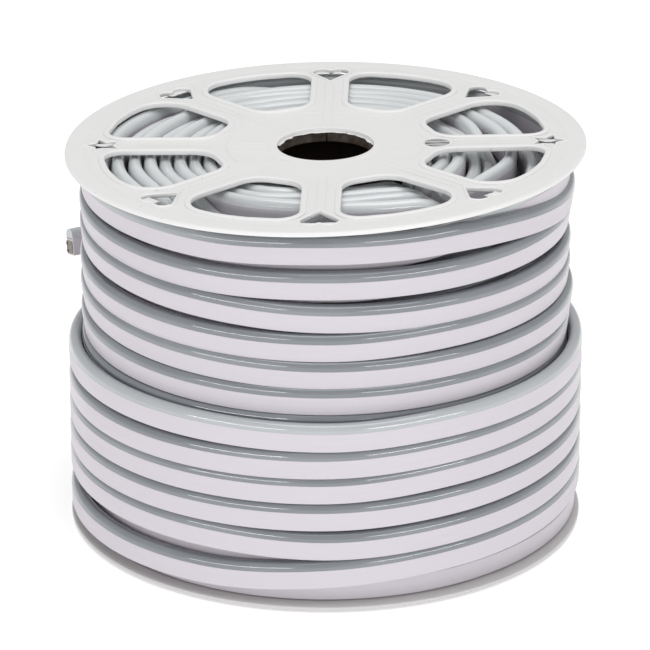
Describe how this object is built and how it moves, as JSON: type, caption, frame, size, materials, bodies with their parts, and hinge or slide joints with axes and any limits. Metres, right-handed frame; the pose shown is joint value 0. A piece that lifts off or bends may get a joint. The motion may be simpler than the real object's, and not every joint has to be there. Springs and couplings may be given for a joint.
{
  "type": "reel of led neon flex",
  "caption": "Domed LED neon flex strip wound in layers on a flat plastic reel with windowed flanges, a central bore and a loose cut end.",
  "frame": {"origin": "middle of the lower flange's outer face, on the reel's axis, in the plane that the reel stands on; the strip's free end reaches 3.5 mm past the flanges towards -X, so the bounding box's middle lies 1.8 mm off the axis", "axes": "+Z is the reel's axis, up from the lower flange to the upper one; -Y is the front as in the picture; the free end leaves the reel at the back and points to -X and -Y"},
  "size_m": [0.3035, 0.3, 0.2263],
  "materials": {
    "flange_plastic": "off-white moulded plastic with a fine grain",
    "core_board": "dark brown wound board tube",
    "strip_channel": "opaque white PVC, satin, faintly lilac",
    "strip_dome": "milky grey-blue translucent PVC, glossy",
    "strip_filling": "beige filling and circuit ribbon, seen at the cut end",
    "strip_conductor": "tarnished ends of two stranded wires"
  },
  "bodies": {
    "root": {"reel_flange_top": "flange_plastic", "reel_flange_bottom": "flange_plastic", "reel_core": "core_board", "neon_flex_winding": "strip_channel"}
  },
  "joints": []
}
